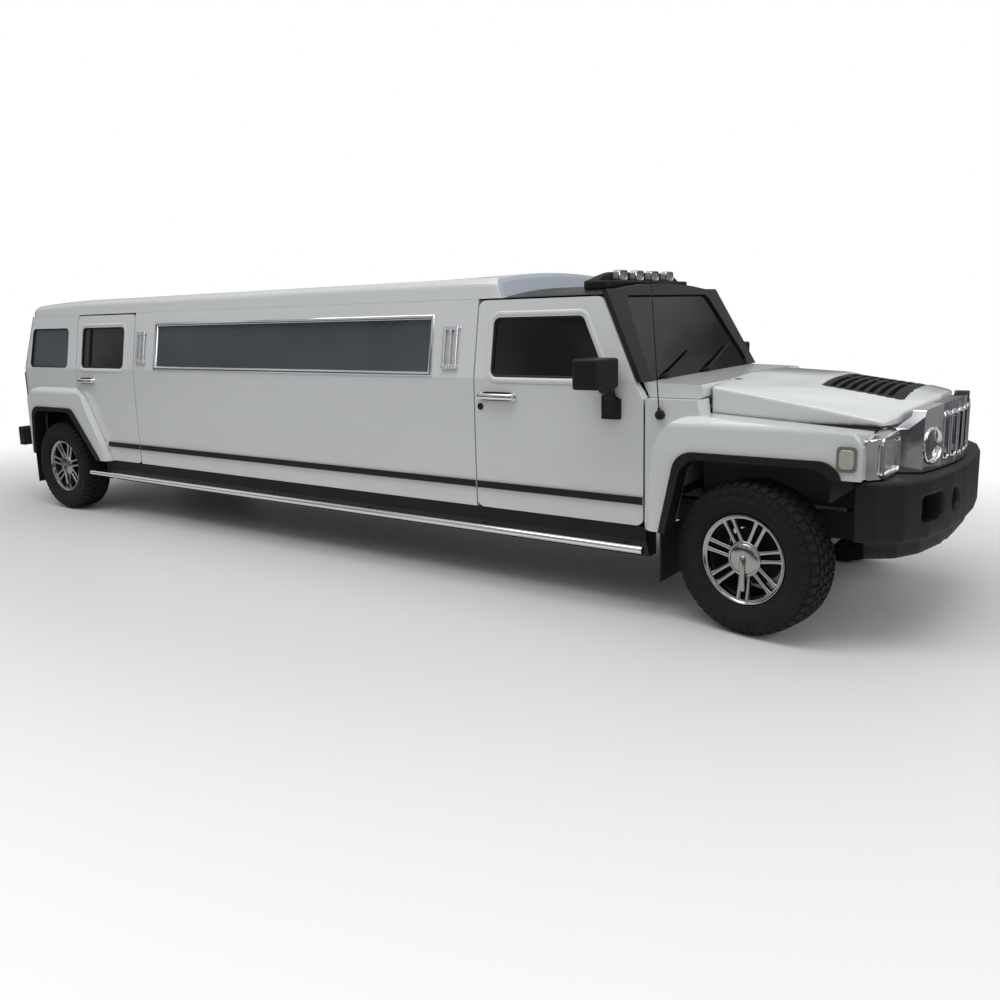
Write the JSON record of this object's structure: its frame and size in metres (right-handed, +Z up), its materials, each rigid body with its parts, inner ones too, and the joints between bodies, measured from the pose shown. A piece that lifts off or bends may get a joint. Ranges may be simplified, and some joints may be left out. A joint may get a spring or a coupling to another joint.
{
  "type": "stretch limousine",
  "caption": "Stretched off-road style limousine with raised passenger roof, hinged doors, hood and tailgate, steered front wheels and free rolling wheels.",
  "frame": {"origin": "on the ground under the middle of the vehicle's box", "axes": "+X forward to the nose, +Y to the vehicle's left, +Z up"},
  "size_m": [8.328, 2.218, 1.889],
  "materials": {
    "white_paint": "gloss, clear coat",
    "gloss_black": "gloss",
    "black_trim": "fine moulded grain",
    "chrome": "polished",
    "tinted_glass": "dark tint",
    "clear_lens": "clear, fluted",
    "red_lens": "gloss",
    "chassis_black": "satin",
    "bare_steel": "satin",
    "cast_metal": "cast",
    "tyre_rubber": "matte",
    "seat_leather": "grained",
    "dash_plastic": "grained"
  },
  "bodies": {
    "chassis": {"frame_rails": "chassis_black", "cross_members": "chassis_black", "floor_pan": "chassis_black", "stretch_panels": "white_paint", "rear_quarters": "white_paint", "roof": "white_paint", "cab_roof": "gloss_black", "cowl": "white_paint", "front_fenders": "white_paint", "grille": "chrome", "front_lamps": "clear_lens", "front_bumper": "black_trim", "rear_bumper": "black_trim", "tail_lamps": "red_lens", "fixed_glass": "tinted_glass", "rocker_panels": "black_trim", "side_bars": "chrome", "arch_trims": "black_trim", "light_bar": "black_trim", "pillar_bars": "chrome", "powertrain": "cast_metal", "exhaust": "bare_steel", "fuel_tank": "chassis_black", "rear_axle": "bare_steel", "front_suspension": "bare_steel", "seats": "seat_leather", "dashboard": "dash_plastic"},
    "hood_lid": {"hood": "white_paint", "hood_vent": "black_trim"},
    "door_front_left": {"front_door_left": "white_paint", "front_glass_left": "tinted_glass", "mirror_left": "black_trim"},
    "door_front_right": {"front_door_right": "white_paint", "front_glass_right": "tinted_glass", "mirror_right": "black_trim"},
    "door_rear_left": {"rear_door_left": "white_paint", "rear_glass_left": "tinted_glass"},
    "door_rear_right": {"rear_door_right": "white_paint", "rear_glass_right": "tinted_glass"},
    "rear_gate": {"tailgate": "white_paint", "tailgate_glass": "tinted_glass", "spare_tyre": "tyre_rubber", "spare_rim": "chrome"},
    "steer_left": {"knuckle_left": "bare_steel"},
    "steer_right": {"knuckle_right": "bare_steel"},
    "wheel_front_left": {"tyre_front_left": "tyre_rubber", "rim_front_left": "chrome"},
    "wheel_front_right": {"tyre_front_right": "tyre_rubber", "rim_front_right": "chrome"},
    "wheel_rear_left": {"tyre_rear_left": "tyre_rubber", "rim_rear_left": "chrome"},
    "wheel_rear_right": {"tyre_rear_right": "tyre_rubber", "rim_rear_right": "chrome"}
  },
  "joints": [
    {"name": "steering_left", "type": "hinge", "parent": "chassis", "child": "steer_left", "pos_m": [3.324, 0.76, 0.397], "axis": [0, 0, 1], "range_deg": [-23, 45]},
    {"name": "steering_right", "type": "hinge", "parent": "chassis", "child": "steer_right", "pos_m": [3.324, -0.76, 0.397], "axis": [0, 0, 1], "range_deg": [-23, 45]},
    {"name": "spin_front_left", "type": "hinge", "parent": "steer_left", "child": "wheel_front_left", "pos_m": [3.3364, 0.82381, 0.397], "axis": [0.1908, 0.9816, 0], "continuous": true},
    {"name": "spin_front_right", "type": "hinge", "parent": "steer_right", "child": "wheel_front_right", "pos_m": [3.3116, -0.82381, 0.397], "axis": [0.1908, 0.9816, 0], "continuous": true},
    {"name": "spin_rear_left", "type": "hinge", "parent": "chassis", "child": "wheel_rear_left", "pos_m": [-3.074, 0.825, 0.397], "axis": [0, 1, 0], "continuous": true},
    {"name": "spin_rear_right", "type": "hinge", "parent": "chassis", "child": "wheel_rear_right", "pos_m": [-3.074, -0.825, 0.397], "axis": [0, 1, 0], "continuous": true},
    {"name": "open_front_left", "type": "hinge", "parent": "chassis", "child": "door_front_left", "pos_m": [2.671, 0.848, 0.9], "axis": [0, 0, -1], "range_deg": [0, 68]},
    {"name": "open_front_right", "type": "hinge", "parent": "chassis", "child": "door_front_right", "pos_m": [2.671, -0.848, 0.9], "axis": [0, 0, 1], "range_deg": [0, 68]},
    {"name": "open_rear_left", "type": "hinge", "parent": "chassis", "child": "door_rear_left", "pos_m": [-1.998, 0.848, 0.9], "axis": [0, 0, -1], "range_deg": [0, 68]},
    {"name": "open_rear_right", "type": "hinge", "parent": "chassis", "child": "door_rear_right", "pos_m": [-1.998, -0.848, 0.9], "axis": [0, 0, 1], "range_deg": [0, 68]},
    {"name": "open_gate", "type": "hinge", "parent": "chassis", "child": "rear_gate", "pos_m": [-3.856, -0.625, 1], "axis": [0, 0, 1], "range_deg": [0, 85]},
    {"name": "open_hood", "type": "hinge", "parent": "chassis", "child": "hood_lid", "pos_m": [3.086, 0, 1.26], "axis": [0, -1, 0], "range_deg": [0, 55]}
  ],
  "couplings": [
    {"joint": "steering_right", "follows": "steering_left", "ratio": 1}
  ]
}
